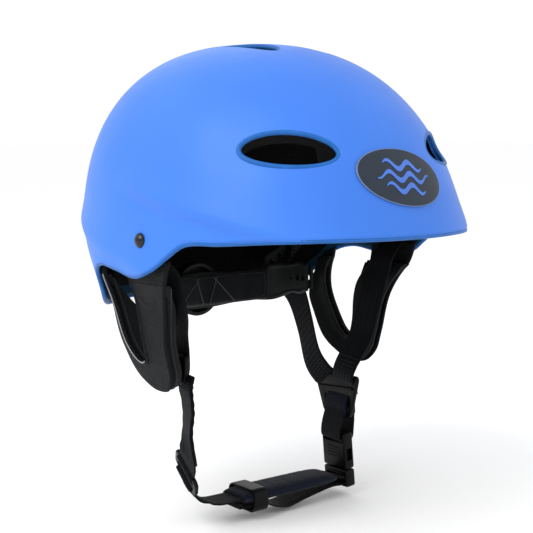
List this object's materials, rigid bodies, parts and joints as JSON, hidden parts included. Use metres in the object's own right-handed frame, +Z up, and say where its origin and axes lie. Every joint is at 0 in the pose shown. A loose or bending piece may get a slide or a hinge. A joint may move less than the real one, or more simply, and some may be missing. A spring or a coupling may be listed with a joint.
{
  "type": "water sports helmet",
  "caption": "Open-face water sports helmet with ear guards, vented shell, foam liner, rear dial cradle and a chin strap with a side-release buckle.",
  "frame": {"origin": "midway between the sides, at the height of the front rim, where the head sits in the helmet", "axes": "+Z up through the crown, -Y the way the wearer looks, -X the wearer's right"},
  "size_m": [0.2244, 0.2729, 0.3058],
  "materials": {
    "shell_plastic": "satin moulded shell plastic, mid blue",
    "liner_foam": "closed-cell foam liner, black",
    "comfort_foam": "soft laminated foam pads, black brushed cloth",
    "badge_plastic": "moulded badge plate, dark navy with a light edge",
    "rivet_plastic": "black domed push rivets",
    "washer_steel": "small stainless washers",
    "guard_plastic": "grained moulded ear guard, charcoal",
    "guard_foam": "soft ear padding, black",
    "webbing": "20 mm woven polyester webbing, black",
    "chin_cover": "padded chin sleeve, black with a navy cast",
    "buckle_plastic": "moulded acetal hardware, black",
    "cradle_plastic": "flexible moulded nylon, black",
    "cradle_foam": "soft cradle pad, black",
    "dial_rubber": "grippy dial, dark grey"
  },
  "bodies": {
    "helmet": {"outer_shell": "shell_plastic", "foam_liner": "liner_foam", "crown_pad": "comfort_foam", "brow_pad": "comfort_foam", "nape_pad": "comfort_foam", "side_pad_right": "comfort_foam", "side_pad_left": "comfort_foam", "badge": "badge_plastic", "side_rivet_right": "rivet_plastic", "side_rivet_left": "rivet_plastic", "rear_rivet_right": "rivet_plastic", "rear_rivet_left": "rivet_plastic", "side_washer_right": "washer_steel", "side_washer_left": "washer_steel", "rear_washer_right": "washer_steel", "rear_washer_left": "washer_steel", "fit_arm_right": "cradle_plastic", "fit_arm_left": "cradle_plastic", "front_strap_right": "webbing", "front_strap_left": "webbing", "rear_strap_right": "webbing", "rear_strap_left": "webbing", "divider_right": "buckle_plastic", "divider_left": "buckle_plastic", "chin_web_right": "webbing", "buckle_web": "webbing", "buckle_female": "buckle_plastic", "adjuster_ring": "buckle_plastic", "ring_web": "webbing"},
    "guard_right": {"ear_guard_right": "guard_plastic", "ear_pad_right": "guard_foam"},
    "guard_left": {"ear_guard_left": "guard_plastic", "ear_pad_left": "guard_foam"},
    "cradle": {"cradle": "cradle_plastic", "cradle_pad": "cradle_foam", "dial_housing": "cradle_plastic"},
    "dial": {"dial_knob": "dial_rubber", "pinion": "cradle_plastic"},
    "rack_right": {"rack_right": "cradle_plastic"},
    "rack_left": {"rack_left": "cradle_plastic"},
    "chin": {"chin_strap": "webbing", "strap_tail": "webbing", "buckle_male": "buckle_plastic"},
    "chin_pad": {"chin_pad": "chin_cover"},
    "keeper": {"keeper": "buckle_plastic"},
    "prong_front": {"prong_front": "buckle_plastic"},
    "prong_rear": {"prong_rear": "buckle_plastic"}
  },
  "joints": [
    {"name": "guard_right_flex", "type": "hinge", "parent": "helmet", "child": "guard_right", "pos_m": [-0.1045, 0, -0.02], "axis": [0, 1, 0], "range_deg": [0, 4], "stiffness_Nm_per_rad": 0.5, "springref_deg": -5.73},
    {"name": "guard_left_flex", "type": "hinge", "parent": "helmet", "child": "guard_left", "pos_m": [0.1045, 0, -0.02], "axis": [0, -1, 0], "range_deg": [0, 4], "stiffness_Nm_per_rad": 0.5, "springref_deg": -5.73},
    {"name": "cradle_slide", "type": "slide", "parent": "helmet", "child": "cradle", "axis": [0, -1, 0], "range_m": [0, 0.012]},
    {"name": "dial_turn", "type": "hinge", "parent": "cradle", "child": "dial", "pos_m": [0, 0.072, -0.052], "axis": [0, 1, 0], "range_deg": [0, 115]},
    {"name": "rack_right_slide", "type": "slide", "parent": "cradle", "child": "rack_right", "axis": [1, 0, 0], "range_m": [0, 0.012]},
    {"name": "rack_left_slide", "type": "slide", "parent": "cradle", "child": "rack_left", "axis": [-1, 0, 0], "range_m": [0, 0.012]},
    {"name": "chin_release", "type": "hinge", "parent": "helmet", "child": "chin", "pos_m": [-0.052, 0, -0.177], "axis": [0, 1, 0], "range_deg": [0, 95]},
    {"name": "chin_pad_slide", "type": "slide", "parent": "chin", "child": "chin_pad", "axis": [1, 0, 0], "range_m": [-0.01, 0.002]},
    {"name": "keeper_slide", "type": "slide", "parent": "chin", "child": "keeper", "axis": [1, 0, 0], "range_m": [-0.006, 0]},
    {"name": "prong_front_squeeze", "type": "hinge", "parent": "chin", "child": "prong_front", "pos_m": [0.06622, -0.008, -0.17494], "axis": [-0.9956, 0, -0.0941], "range_deg": [0, 6], "stiffness_Nm_per_rad": 0.05, "springref_deg": -1.15},
    {"name": "prong_rear_squeeze", "type": "hinge", "parent": "chin", "child": "prong_rear", "pos_m": [0.06622, 0.004, -0.17494], "axis": [0.9956, 0, 0.0941], "range_deg": [0, 6]}
  ],
  "couplings": [
    {"joint": "dial_turn", "follows": "cradle_slide", "rad_per_m": 166.67},
    {"joint": "rack_right_slide", "follows": "cradle_slide", "ratio": 1},
    {"joint": "rack_left_slide", "follows": "cradle_slide", "ratio": 1},
    {"joint": "prong_rear_squeeze", "follows": "prong_front_squeeze", "ratio": 1}
  ]
}
